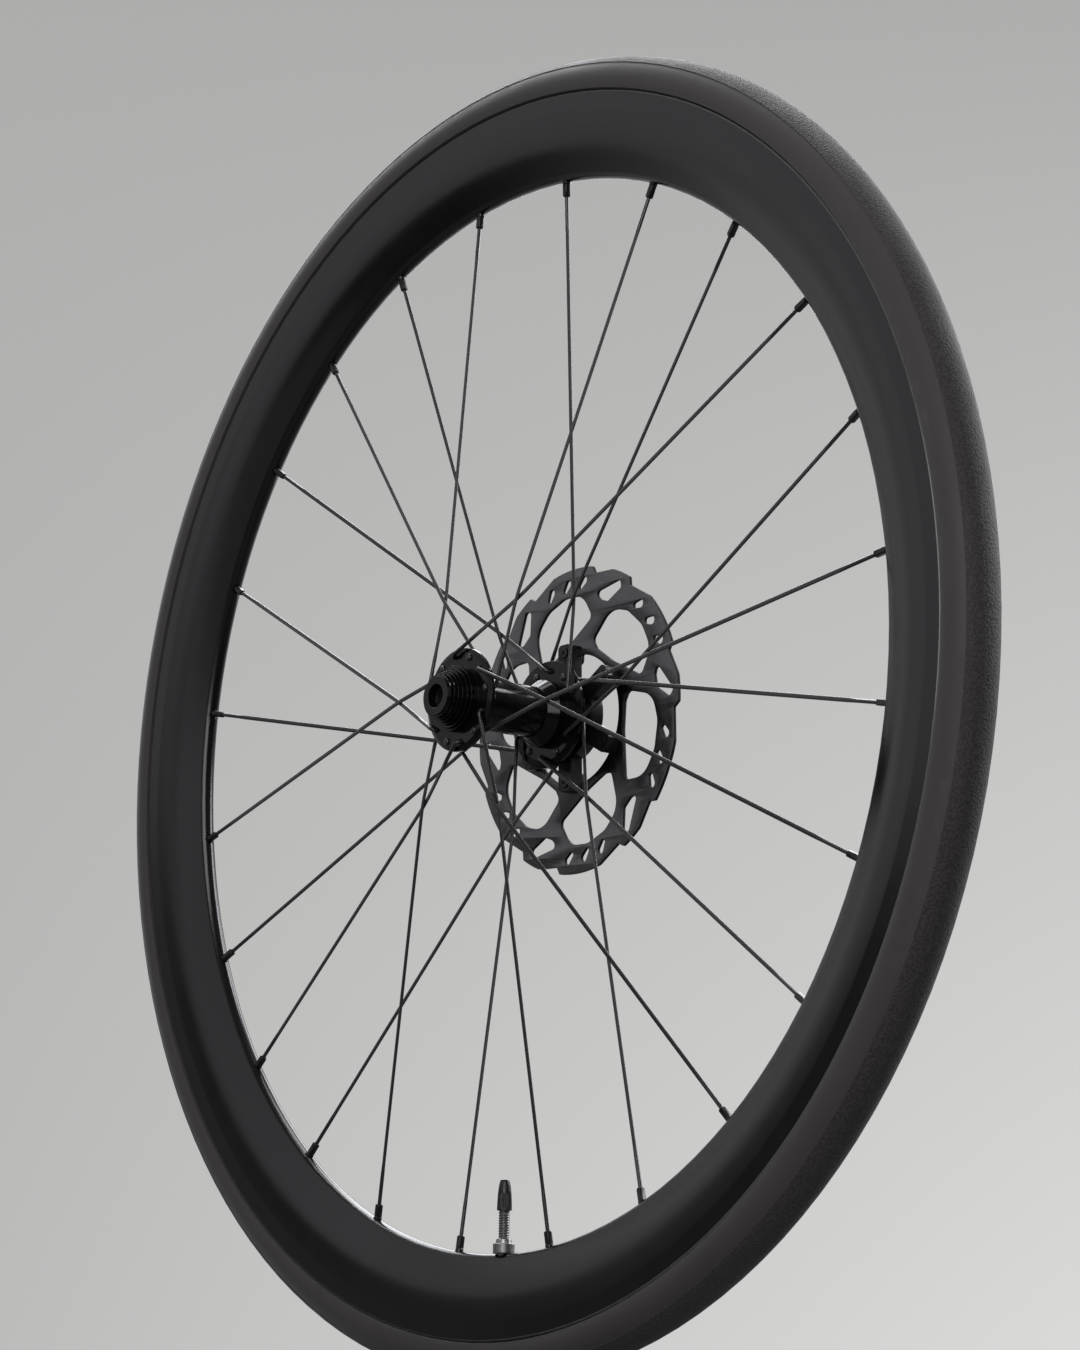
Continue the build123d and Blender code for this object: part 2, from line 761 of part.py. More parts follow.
def carrier_teeth():
    """Inner teeth of the carrier, which fill the hub's spline slots with a small clearance."""
    foot = spline_diameter / 2 - spline_depth + 2 * spline_clearance
    height = spline_depth + carrier_ring_width / 2
    bar = Box(spline_slot_width - 2 * spline_clearance, carrier_depth, height)
    return round_spline(bar, carrier_inside + carrier_depth / 2, foot + height / 2)


def rivets():
    """Six hollow-ended rivets through carrier and rotor, as separate solids."""
    solids = []
    head = rivet_head_diameter / 2
    shank = rivet_diameter / 2
    dimple = rivet_dimple_diameter / 2
    near_head = carrier_inside - rivet_head_height
    far_head = rotor_outside + rivet_head_height
    outline = [
        (0, near_head + rivet_head_height),
        (dimple, near_head + rivet_head_height),
        (dimple, near_head),
        (head, near_head),
        (head, carrier_inside),
        (shank, carrier_inside),
        (shank, rotor_outside),
        (head, rotor_outside),
        (head, far_head),
        (0, far_head),
    ]
    one = turned(outline)
    for arm in range(rotor_arms):
        x, z = in_wheel(rivet_circle_radius, arm * 360 / rotor_arms + carrier_phase)
        solids.append(Pos(x, 0, z) * one)
    return Compound(children=solids)


def lock_ring():
    """Lock ring screwed into the hub shell, its flange against the carrier, notched inside for a tool."""
    sleeve = lock_thread_radius - lock_ring_thread_clearance
    inner = sleeve - lock_ring_sleeve_wall
    flange = lock_ring_diameter / 2
    low = rotor_inside
    high = rotor_inside + lock_ring_thickness
    foot = shell_disc_end - lock_ring_sleeve_length + seat_gap
    body = turned(
        [
            (inner, foot),
            (sleeve, foot),
            (sleeve, low),
            (flange, low),
            (flange, high - lock_ring_chamfer),
            (flange - lock_ring_chamfer, high),
            (inner, high),
        ]
    )
    bar = Box(lock_ring_notch_width, 2 * lock_ring_notch_length, 2 * lock_ring_notch_depth)
    pitch = 360 / lock_ring_notches
    return body - [Rot(0, notch * pitch, 0) * Pos(0, high, inner) * bar for notch in range(lock_ring_notches)]


# Valve, drawn along +Z from the wheel's centre and then turned to its place

stem_radius = valve_stem_diameter / 2
stem_bore = stem_radius - valve_stem_wall
valve_tip_radius = bed_radius - valve_exposed_length
cap_mouth = valve_tip_radius + valve_cap_length
stem_tip = cap_mouth - valve_cap_overlap
grommet_foot = sqrt(well_radius**2 - (valve_foot_diameter / 2) ** 2) + seat_gap
foot_low = grommet_foot + valve_grommet_thickness


def valve_turned(points):
    """Solid of revolution about the valve's own axis, from (radius, height) points."""
    outline = make_face(Plane.XZ * Polyline(*points, close=True))
    return Rot(0, valve_angle, 0) * revolve(outline, Axis.Z, 360)


def valve_stem():
    foot = valve_foot_diameter / 2
    return valve_turned(
        [
            (stem_bore, stem_tip),
            (stem_radius, stem_tip),
            (stem_radius, foot_low),
            (foot, foot_low),
            (foot, foot_low + valve_foot_thickness),
            (stem_bore, foot_low + valve_foot_thickness),
        ]
    )


def valve_grommet():
    """Rubber seat under the valve's foot, in the rim's well."""
    inner = stem_radius + valve_fit_gap
    outer = valve_foot_diameter / 2
    return valve_turned([(inner, grommet_foot), (outer, grommet_foot), (outer, foot_low), (inner, foot_low)])


def valve_lock_nut():
    """Round nut, with a narrower collar, that draws the valve against the spoke bed."""
    inner = stem_radius + valve_fit_gap
    outer = valve_nut_diameter / 2
    collar = valve_nut_collar_diameter / 2
    high = sqrt(bed_radius**2 - outer**2) - seat_gap
    low = high - valve_nut_height
    return valve_turned(
        [
            (inner, low - valve_nut_collar_height),
            (collar - valve_nut_collar_taper, low - valve_nut_collar_height),
            (collar, low),
            (outer - valve_nut_chamfer, low),
            (outer, low + valve_nut_chamfer),
            (outer, high - valve_nut_chamfer),
            (outer - valve_nut_chamfer, high),
            (inner, high),
        ]
    )


def valve_core():
    """Core screwed into the stem: collar, neck, knurled nut and pin under the cap."""
    collar_end = stem_tip - valve_core_collar_height
    tip = stem_tip - valve_core_length
    nut_low = tip + valve_core_pin_length
    nut_high = nut_low + valve_core_nut_height
    pin = valve_core_pin_diameter / 2
    return valve_turned(
        [
            (0, tip),
            (pin, tip),
            (pin, nut_low),
            (valve_core_nut_diameter / 2, nut_low),
            (valve_core_nut_diameter / 2, nut_high),
            (valve_core_neck_diameter / 2, nut_high),
            (valve_core_neck_diameter / 2, collar_end),
            (valve_core_collar_diameter / 2, collar_end),
            (valve_core_collar_diameter / 2, stem_tip),
            (stem_bore - valve_fit_gap, stem_tip),
            (stem_bore - valve_fit_gap, stem_tip + valve_core_depth),
            (0, stem_tip + valve_core_depth),
        ]
    )


def valve_cap():
    """Tapered plastic cap, open towards the rim and pushed over the stem's end."""
    inner = stem_radius + valve_fit_gap
    tip = valve_cap_tip_diameter / 2
    roof = valve_tip_radius + valve_cap_roof
    return valve_turned(
        [
            (0, valve_tip_radius),
            (tip - valve_cap_chamfer, valve_tip_radius),
            (tip, valve_tip_radius + valve_cap_chamfer),
            (valve_cap_diameter / 2, cap_mouth),
            (inner, cap_mouth),
            (inner, stem_tip - valve_core_collar_height),
            (tip - valve_cap_wall, roof),
            (0, roof),
        ]
    )


# The nodes, each written to its own file

nodes = {
    "rim": rim(),
    "tyre": revolve(tyre_section(), Axis.Y, 360),
    "spoke_nipples": Compound(children=at_nipples(nipple())),
    "hub_shell": hub_shell(),
    "axle_tube": axle(),
    "end_cap_near": near_end_cap(),
    "end_cap_disc": disc_end_cap(),
    "bearing_outer_ring_near": bearing_outer_ring(-near_bearing_outside),
    "bearing_inner_ring_near": bearing_inner_ring(-near_bearing_outside),
    "bearing_seals_near": bearing_seals(-near_bearing_outside),
    "bearing_outer_ring_disc": bearing_outer_ring(disc_bearing_inside),
    "bearing_inner_ring_disc": bearing_inner_ring(disc_bearing_inside),
    "bearing_seals_disc": bearing_seals(disc_bearing_inside),
    "brake_rotor": rotor(),
    "rotor_carrier": rotor_carrier(),
    "rotor_rivets": rivets(),
    "rotor_lock_ring": lock_ring(),
    "valve_stem": valve_stem(),
    "valve_grommet": valve_grommet(),
    "valve_lock_nut": valve_lock_nut(),
    "valve_core": valve_core(),
    "valve_cap": valve_cap(),
}
for number in range(spoke_count):
    side = "disc" if number % 2 else "near"
    nodes[f"spoke_{side}_{number // 2 + 1:02d}"] = spoke(number)

os.makedirs("parts", exist_ok=True)
for name, shape in nodes.items():
    export_step(shape, f"parts/{name}.step")
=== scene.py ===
import json
from math import acos, asin, atan2, copysign, cos, degrees, hypot, pi, radians, sin, sqrt

import bmesh
import bpy
from mathutils import Matrix, Vector


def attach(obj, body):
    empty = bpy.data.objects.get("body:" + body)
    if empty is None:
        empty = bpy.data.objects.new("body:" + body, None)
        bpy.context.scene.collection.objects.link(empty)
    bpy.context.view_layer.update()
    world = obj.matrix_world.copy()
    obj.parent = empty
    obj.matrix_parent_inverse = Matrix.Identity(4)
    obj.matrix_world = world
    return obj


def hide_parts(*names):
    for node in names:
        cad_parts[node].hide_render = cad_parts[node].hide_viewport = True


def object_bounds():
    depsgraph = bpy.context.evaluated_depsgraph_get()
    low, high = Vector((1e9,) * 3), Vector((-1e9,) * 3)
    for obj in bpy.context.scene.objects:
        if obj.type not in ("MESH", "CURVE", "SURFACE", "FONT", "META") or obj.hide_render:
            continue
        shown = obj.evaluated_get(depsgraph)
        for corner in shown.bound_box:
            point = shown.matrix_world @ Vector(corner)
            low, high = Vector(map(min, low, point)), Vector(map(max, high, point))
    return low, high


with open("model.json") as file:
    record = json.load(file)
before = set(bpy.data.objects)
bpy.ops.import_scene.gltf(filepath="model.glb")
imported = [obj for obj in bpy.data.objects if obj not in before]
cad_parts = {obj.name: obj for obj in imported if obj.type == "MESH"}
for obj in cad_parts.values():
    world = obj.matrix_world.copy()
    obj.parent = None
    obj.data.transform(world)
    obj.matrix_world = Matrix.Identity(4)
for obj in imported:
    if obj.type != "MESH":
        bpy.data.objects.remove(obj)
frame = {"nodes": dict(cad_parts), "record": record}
cad_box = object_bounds()
nodes = frame["nodes"]

# Sizes in millimetres, as in the solids. Meshes are scaled to metres when they are made.
MM = 0.001
SHARP_ANGLE = 38
BED_RADIUS = 273.5
SPOKES = 24
SPOKE_CIRCLE = 22.0
LACING_ANGLE = 60.0
FLANGE_Y = {-1: -34.0, 1: 23.0}
FLANGE_THICKNESS = 3.2
ELBOW_REACH = 3.0
BLADE = (1.1, 0.475)
SHANK = (1.0, 1.0)
BLADE_START = 14.0
BLADE_TAPER = 8.0
FLATNESS = 2.2
CROSSING_GAP = 0.6
CROSSING_BEND = 7.0
SEAT_GAP = 0.05
SPOKE_END = 2.0
ELBOW_STEPS = 10
TAPER_STEPS = 6
BEND_STEPS = 8
NIPPLE_REACH = 7.8
NIPPLE_HALF = 1.55
NIPPLE_SQUARENESS = 9.0

# Height and radius along a spoke's head
HEAD_PROFILE = (
    (1.2, 0.25), (1.17, 0.8), (1.0, 1.4), (0.68, 1.78),
    (0.3, 1.9), (0.06, 1.88), (0.0, 1.55), (0.0, 1.0),
)


# Mesh helpers

def in_wheel(radius, angle):
    return radius * sin(radians(angle)), radius * cos(radians(angle))


def unit(start, end):
    run = (end[0] - start[0], end[1] - start[1])
    size = hypot(*run)
    return run[0] / size, run[1] / size


def rotated(arm, turn):
    return arm[0] * cos(turn) - arm[1] * sin(turn), arm[0] * sin(turn) + arm[1] * cos(turn)


def make_object(name, points, faces):
    mesh = bpy.data.meshes.new(name)
    mesh.from_pydata([Vector(p) * MM for p in points], [], faces)
    mesh.validate()
    mesh.polygons.foreach_set("use_smooth", [True] * len(mesh.polygons))
    mesh.set_sharp_from_angle(angle=radians(SHARP_ANGLE))
    piece = bpy.data.objects.new(name, mesh)
    bpy.context.collection.objects.link(piece)
    return piece


def skin(rings):
    """Points and faces of a closed tube through rings of equal size."""
    points, faces = [], []
    count = len(rings[0])
    for ring in rings:
        points += ring
    for row in range(len(rings) - 1):
        for k in range(count):
            a, b = row * count + k, row * count + (k + 1) % count
            faces.append((a, b, b + count, a + count))
    last = (len(rings) - 1) * count
    faces.append(tuple(reversed(range(count))))
    faces.append(tuple(range(last, last + count)))
    return points, faces


def join(parts):
    points, faces = [], []
    for more_points, more_faces in parts:
        start = len(points)
        points += more_points
        faces += [tuple(k + start for k in face) for face in more_faces]
    return points, faces


# Spokes: the solids' routes with round bends and a smooth blade


class Route:
    def __init__(self, number):
        pitch = 360 / SPOKES
        rim_angle = (number - 0.5) * pitch
        outward = number % 4 in (0, 3)
        self.side = 1 if number % 2 else -1
        hub_angle = rim_angle + (-LACING_ANGLE if outward else LACING_ANGLE)
        flange_y = FLANGE_Y[self.side]
        self.hub = in_wheel(SPOKE_CIRCLE, hub_angle)
        rim = in_wheel(BED_RADIUS, rim_angle)
        self.length = hypot(rim[0] - self.hub[0], rim[1] - self.hub[1])
        self.along = unit(self.hub, rim)
        self.stub = self.side if outward else -self.side
        self.back = flange_y - self.stub * FLANGE_THICKNESS / 2
        self.corner = (0.0, flange_y + self.stub * (FLANGE_THICKNESS / 2 + ELBOW_REACH))
        self.rim_point = (self.length, 0.0)
        wrap, turn = radians(LACING_ANGLE), radians(LACING_ANGLE - pitch)
        spread = SPOKE_CIRCLE * sin(turn) + BED_RADIUS * sin(wrap - turn)
        radius = SPOKE_CIRCLE * BED_RADIUS * sin(wrap) / spread
        step = radius * sin(turn) / (BED_RADIUS * sin(wrap)) * self.length
        lean = -self.side if outward else self.side
        middle = flange_y * (1 - step / self.length)
        self.crossing = (step, middle + lean * (2 * BLADE[1] + CROSSING_GAP) / 2)
        self.first = unit(self.corner, self.crossing)
        self.last = unit(self.crossing, self.rim_point)
        self.across = Vector((self.along[1], 0, -self.along[0]))

    def place(self, point):
        x = self.hub[0] + point[0] * self.along[0]
        z = self.hub[1] + point[0] * self.along[1]
        return Vector((x, point[1], z))

    def direction(self, tangent):
        return Vector((tangent[0] * self.along[0], tangent[1], tangent[0] * self.along[1]))


def moved(point, tangent, distance):
    return point[0] + tangent[0] * distance, point[1] + tangent[1] * distance


def blend(a, b, t):
    t = t * t * (3 - 2 * t)
    return a[0] + (b[0] - a[0]) * t, a[1] + (b[1] - a[1]) * t


def spoke_stations(route):
    """(point, tangent, half sizes) along one spoke, from its head to its end inside the nipple."""
    stub = (0.0, float(route.stub))
    foot = (0.0, route.back - route.stub * SEAT_GAP)
    stations = []
    for height, radius in HEAD_PROFILE:
        stations.append((moved(foot, stub, -height), stub, (radius, radius)))
    cosine = route.first[0] * stub[0] + route.first[1] * stub[1]
    half = asin(sqrt((1 - cosine) / 2))
    arc_radius = ELBOW_REACH / (sin(half) / cos(half))
    inward = unit(stub, route.first)
    centre = moved(route.corner, inward, arc_radius / cos(half))
    start = moved(route.corner, stub, -ELBOW_REACH)
    spin = 2 * half if stub[0] * route.first[1] - stub[1] * route.first[0] > 0 else -2 * half
    arm = (start[0] - centre[0], start[1] - centre[1])
    for k in range(ELBOW_STEPS + 1):
        turn = spin * k / ELBOW_STEPS
        point = moved(centre, rotated(arm, turn), 1.0)
        stations.append((point, rotated(stub, turn), SHANK))
    for k in range(TAPER_STEPS + 1):
        size = blend(SHANK, BLADE, k / TAPER_STEPS)
        point = moved(route.corner, route.first, BLADE_START + BLADE_TAPER * k / TAPER_STEPS)
        stations.append((point, route.first, size))
    before = moved(route.crossing, route.first, -CROSSING_BEND)
    after = moved(route.crossing, route.last, CROSSING_BEND)
    for k in range(BEND_STEPS + 1):
        t = k / BEND_STEPS
        curve = zip(before, route.crossing, after)
        point = tuple((1 - t) ** 2 * a + 2 * t * (1 - t) * b + t * t * c for a, b, c in curve)
        tangent = unit((0, 0), tuple((1 - t) * a + t * b for a, b in zip(route.first, route.last)))
        stations.append((point, tangent, BLADE))
    end = moved(route.rim_point, route.last, -NIPPLE_REACH - BLADE_START)
    for k in range(TAPER_STEPS + 1):
        size = blend(BLADE, SHANK, k / TAPER_STEPS)
        stations.append((moved(end, route.last, BLADE_TAPER * (k / TAPER_STEPS - 1)), route.last, size))
    stations.append((moved(route.rim_point, route.last, SPOKE_END), route.last, SHANK))
    return stations


def spoke_mesh(route, sides=20):
    rings = []
    for point, tangent, (wide, thick) in spoke_stations(route):
        middle = route.place(point)
        normal = route.direction((-tangent[1], tangent[0]))
        power = 2 / (2 + FLATNESS * (1 - thick / wide))
        ring = []
        for k in range(sides):
            a = 2 * pi * k / sides
            x = wide * copysign(abs(cos(a)) ** power, cos(a))
            y = thick * copysign(abs(sin(a)) ** power, sin(a))
            ring.append(middle + route.across * x + normal * y)
        rings.append(ring)
    return skin(rings)


def nipple_mesh(route, sides=32):
    """Square drive with rounded corners between a coned tip and a round body that goes into the rim."""
    tip, flat = -NIPPLE_REACH, NIPPLE_HALF
    # Height, half size and roundness, from the spoke's hole in the tip to the inside of the rim
    shapes = [
        (tip + 1.6, 1.06, 1.0), (tip, 1.08, 1.0), (tip, 1.32, 1.0), (tip + 0.1, 1.45, 0.9),
        (tip + 0.45, 1.54, 0.35), (tip + 0.7, flat, 0.0), (-1.5, flat, 0.0), (-1.3, flat + 0.12, 0.45),
        (-1.1, 1.98, 1.0), (-0.9, 2.06, 1.0), (2.4, 2.06, 1.0),
    ]
    axis = route.direction(route.last)
    normal = route.direction((-route.last[1], route.last[0]))
    origin = route.place(route.rim_point)
    rings = []
    power = NIPPLE_SQUARENESS
    for height, size, roundness in shapes:
        middle = origin + axis * height
        ring = []
        for k in range(sides):
            a = 2 * pi * (k + 0.5) / sides
            square = (abs(cos(a)) ** power + abs(sin(a)) ** power) ** (-1 / power)
            radius = size * (square + (1 - square) * roundness)
            ring.append(middle + route.across * (radius * cos(a)) + normal * (radius * sin(a)))
        rings.append(ring)
    return skin(rings)


# Valve: drawn along its own axis, which points down from the wheel's centre


def at_valve(radius, height, angle):
    """Point at a distance from the valve's axis, a radius of the wheel and an angle about the axis."""
    return Vector((radius * cos(angle), radius * sin(angle), -height))


def lathe(profile, sides, shape=None):
    """Solid turned about the valve's axis from (radius, height) points; shape may change a radius."""
    rings = []
    for radius, height in profile:
        ring = []
        for k in range(sides):
            a = 2 * pi * k / sides
            ring.append(at_valve(shape(radius, height, a) if shape else radius, height, a))
        rings.append(ring)
    return skin(rings)


VALVE_TIP = 237.0
VALVE_BORE = 3.03
CAP_MOUTH = 252.3
CAP_RADIUS = 3.75
CAP_STEPS = 24
CAP_RIBS = 24
RIB_DEPTH = 0.16
RIB_LENGTH = 8.5
RIB_MARGIN = 0.6
NUT_LOW = 268.5
NUT_TOP = 273.4
STEM_RADIUS = 3.0
STEM_END = 249.3
STEM_BASE = 311.5
STEM_FLAT = 2.55
STEM_FLAT_ANGLE = 40
THREAD_START = 249.6
THREAD_PITCH = 1.25
THREAD_DEPTH = 0.6
THREAD_STEPS = 10


def threaded(radius, height, angle):
    """Stem radius with a 60 degree thread and two flats along it."""
    if radius < STEM_RADIUS:
        return radius
    phase = (height / THREAD_PITCH + angle / (2 * pi)) % 1.0
    crest = radius - THREAD_DEPTH * abs(2 * phase - 1)
    return min(crest, STEM_FLAT / max(abs(cos(angle - radians(STEM_FLAT_ANGLE))), 0.01))


def ribbed(radius, height, angle):
    if height < CAP_MOUTH - RIB_LENGTH or height > CAP_MOUTH - RIB_MARGIN or radius < STEM_RADIUS:
        return radius
    return radius - RIB_DEPTH * (0.5 + 0.5 * cos(CAP_RIBS * angle)) ** 2


def bullet():
    """Cap profile, from the mouth's inside over the mouth and along the side to the tip."""
    profile = [(VALVE_BORE, CAP_MOUTH - 3.0), (VALVE_BORE, CAP_MOUTH)]
    profile += [(CAP_RADIUS - 0.2, CAP_MOUTH), (CAP_RADIUS, CAP_MOUTH - 0.25)]
    length = CAP_MOUTH - VALVE_TIP
    for k in range(1, CAP_STEPS + 1):
        t = k / CAP_STEPS
        radius = CAP_RADIUS - 0.5 * t - 0.75 * t**3 - 0.35 * t**12
        profile.append((radius, CAP_MOUTH - 0.25 - (length - 0.7) * t))
    profile += [(1.85, VALVE_TIP + 0.2), (1.2, VALVE_TIP + 0.04), (0.4, VALVE_TIP)]
    return profile


def valve_stem_profile():
    profile = [(2.0, STEM_END), (2.75, STEM_END)]
    steps = int((NUT_LOW - THREAD_START) / THREAD_PITCH * THREAD_STEPS)
    profile += [(STEM_RADIUS, THREAD_START + k * THREAD_PITCH / THREAD_STEPS) for k in range(steps)]
    profile += [(2.6, 269.0), (2.6, 310.2), (4.2, 310.4), (4.2, STEM_BASE), (2.0, STEM_BASE)]
    return profile


def nut_profile():
    low = NUT_LOW
    profile = [(VALVE_BORE, low - 2.3), (3.45, low - 2.3), (3.75, low - 2.05), (4.05, low - 0.2)]
    profile += [(4.1, low), (4.75, low), (5.15, low + 0.05), (5.35, low + 0.2), (5.4, low + 0.35)]
    profile += [(5.4, low + 0.5 + 3.9 * k / 6) for k in range(7)]
    profile += [(5.38, low + 4.65), (5.25, NUT_TOP), (VALVE_BORE, NUT_TOP)]
    return profile


# Rotor: the solid's outline with true arcs, filled and given thin broken edges

ROTOR_EDGE = 80.0
ROTOR_INNER = 34.0
ROTOR_Y = 41.8
ROTOR_HALF = 0.9
ROTOR_BREAK = 0.12
ROTOR_ARMS = 6
NOTCH_FALL = 2.0
NOTCH_DEPTH = 3.5
NOTCH_ROUNDS = (1.2, 0.8, 6.0)

# Angle and rise of each notch
NOTCHES = ((10.3, 10.5), (33.0, 12.5))

# Angle, radius and rounding of each corner
BIG_WINDOW = (
    (17.0, 42.2, 3.2), (23.5, 38.6, 3.2), (45.0, 38.8, 3.2), (72.8, 53.8, 3.2),
    (63.4, 65.2, 12.0), (50.5, 66.3, 12.0), (38.0, 64.9, 12.0), (25.4, 60.4, 12.0),
)
SMALL_WINDOW = (
    (11.8, 66.2, 2.0), (16.5, 63.2, 2.0), (22.5, 63.4, 2.0), (28.6, 73.2, 2.0), (26.0, 76.5, 2.0),
)
SLOT_ANGLES = (42.3, 52.9, 63.1)
SLOT_RADIUS = 71.7
SLOT_CORNERS = ((-2.5, 3.8, 2.1), (2.5, 3.8, 2.1), (1.4, -3.8, 1.3), (-1.4, -3.8, 1.3))
SLOT_LEAN = 43.0
TAB_PHASE = -1.5
TAB_HALF = 5.0
TAB_FOOT = 28.4
TAB_ROUND = 2.6
TAB_FOOT_ROUND = 0.8
RIVET_HOLE = 2.05


def rounded_outline(corners, steps=8):
    """Closed outline through (x, z, radius) corners, each rounded by its radius."""
    outline = []
    for k, (x, z, radius) in enumerate(corners):
        if not radius:
            outline.append((x, z))
            continue
        before = unit((x, z), corners[k - 1][:2])
        after = unit((x, z), corners[(k + 1) % len(corners)][:2])
        half = acos(before[0] * after[0] + before[1] * after[1]) / 2
        reach = radius / sin(half)
        inward = unit((0, 0), (before[0] + after[0], before[1] + after[1]))
        centre = (x + inward[0] * reach, z + inward[1] * reach)
        touch = reach * cos(half)
        first = (x + before[0] * touch - centre[0], z + before[1] * touch - centre[1])
        last = (x + after[0] * touch - centre[0], z + after[1] * touch - centre[1])
        turn = atan2(first[0] * last[1] - first[1] * last[0], first[0] * last[0] + first[1] * last[1])
        for step in range(steps + 1):
            a = turn * step / steps
            outline.append(moved(centre, rotated(first, a), 1.0))
    return outline


def polar_corners(corners, angle):
    return [(*in_wheel(radius, at + angle), rounding) for at, radius, rounding in corners]


def turned_corners(corners, lean, radius, angle):
    """Corners of a shape drawn about its own middle, leaned, put at a radius and turned to an angle."""
    placed = []
    for x, z, rounding in corners:
        c, s = cos(radians(lean)), sin(radians(lean))
        x, z = x * c + z * s, z * c - x * s + radius
        c, s = cos(radians(angle)), sin(radians(angle))
        placed.append((x * c + z * s, z * c - x * s, rounding))
    return placed


def rotor_outlines():
    edge, inner, outlines = [], [], []
    pitch = 360 / ROTOR_ARMS
    foot = sqrt(ROTOR_INNER**2 - TAB_HALF**2)
    gap = degrees(asin(TAB_HALF / ROTOR_INNER))
    for arm in range(ROTOR_ARMS):
        at = arm * pitch
        for k, (angle, rise) in enumerate(NOTCHES):
            corners = [
                (angle - NOTCH_FALL, ROTOR_EDGE, NOTCH_ROUNDS[0]),
                (angle, ROTOR_EDGE - NOTCH_DEPTH, NOTCH_ROUNDS[1]),
                (angle + rise, ROTOR_EDGE, NOTCH_ROUNDS[2]),
            ]
            edge += polar_corners(corners, at)
            following = NOTCHES[1][0] if k == 0 else NOTCHES[0][0] + pitch
            start, end = angle + rise + 3, following - NOTCH_FALL - 1.5
            steps = int(end - start)
            arc = [(start + (end - start) * n / steps, ROTOR_EDGE, 0) for n in range(steps + 1)]
            edge += polar_corners(arc, at)
        tab = [
            (-TAB_HALF, foot, TAB_FOOT_ROUND), (-TAB_HALF, TAB_FOOT, TAB_ROUND),
            (TAB_HALF, TAB_FOOT, TAB_ROUND), (TAB_HALF, foot, TAB_FOOT_ROUND),
        ]
        inner += turned_corners(tab, 0, 0, at + TAB_PHASE)
        start, end = at + TAB_PHASE + gap + 3, at + TAB_PHASE + pitch - gap - 3
        inner += [(*in_wheel(ROTOR_INNER, start + (end - start) * n / 20), 0) for n in range(21)]
        outlines.append(rounded_outline(polar_corners(BIG_WINDOW, at)))
        outlines.append(rounded_outline(polar_corners(SMALL_WINDOW, at)))
        for angle in SLOT_ANGLES:
            outlines.append(rounded_outline(turned_corners(SLOT_CORNERS, SLOT_LEAN, SLOT_RADIUS, at + angle)))
        hole = in_wheel(ROTOR_INNER, at + TAB_PHASE)
        ring = [in_wheel(RIVET_HOLE, 15 * n) for n in range(24)]
        outlines.append([(hole[0] + x, hole[1] + z) for x, z in ring])
    return [rounded_outline(edge), rounded_outline(inner)] + outlines


def filled_plate(name, outlines, half, broken, middle_y):
    """Plate with holes from closed (x, z) outlines, cut through along Y, with broken edges."""
    curve = bpy.data.curves.new(name, "CURVE")
    curve.dimensions = "2D"
    curve.fill_mode = "BOTH"
    curve.extrude = half - broken
    curve.bevel_depth = broken
    curve.bevel_resolution = 1
    curve.offset = -broken
    for outline in outlines:
        spline = curve.splines.new("POLY")
        spline.points.add(len(outline) - 1)
        spline.use_cyclic_u = True
        for point, (x, z) in zip(spline.points, outline):
            point.co = (x, z, 0, 1)
    holder = bpy.data.objects.new(name, curve)
    mesh = bpy.data.meshes.new_from_object(holder)
    shape = bmesh.new()
    shape.from_mesh(mesh)
    bmesh.ops.remove_doubles(shape, verts=shape.verts, dist=0.0005)
    bmesh.ops.dissolve_degenerate(shape, edges=shape.edges, dist=0.0005)
    points = [(v.co.x, middle_y - v.co.z, v.co.y) for v in shape.verts]
    shape.verts.index_update()
    faces = [tuple(v.index for v in face.verts) for face in shape.faces]
    shape.free()
    bpy.data.objects.remove(holder)
    bpy.data.curves.remove(curve)
    bpy.data.meshes.remove(mesh)
    return points, faces


# Materials


